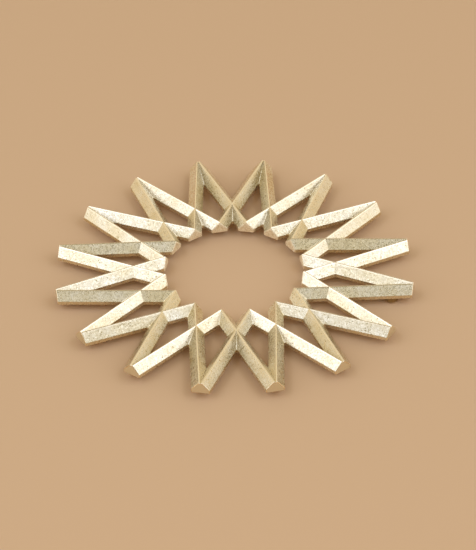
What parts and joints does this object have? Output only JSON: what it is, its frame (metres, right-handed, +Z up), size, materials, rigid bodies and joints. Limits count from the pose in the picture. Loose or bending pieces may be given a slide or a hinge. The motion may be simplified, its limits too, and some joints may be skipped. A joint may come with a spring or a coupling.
{
  "type": "trivet",
  "caption": "Round cast-metal trivet: a sunburst ring of crossing roof-shaped bars with an open middle, on short peg feet with pads.",
  "frame": {"origin": "bottom centre: on the table, under the middle of the star", "axes": "+Z up; the star's outer points lie half a pitch either side of +X; -Y is the front in the picture"},
  "size_m": [0.198, 0.198, 0.011],
  "materials": {
    "cast_brass": "sand-cast, lightly blasted, pale champagne gold",
    "foot_brass": "turned, satin",
    "pad_rubber": "matt tan rubber"
  },
  "bodies": {
    "root": {"star_casting": "cast_brass", "foot_right": "foot_brass", "foot_back": "foot_brass", "foot_left": "foot_brass", "foot_front": "foot_brass", "pad_right": "pad_rubber", "pad_back": "pad_rubber", "pad_left": "pad_rubber", "pad_front": "pad_rubber"}
  },
  "joints": []
}
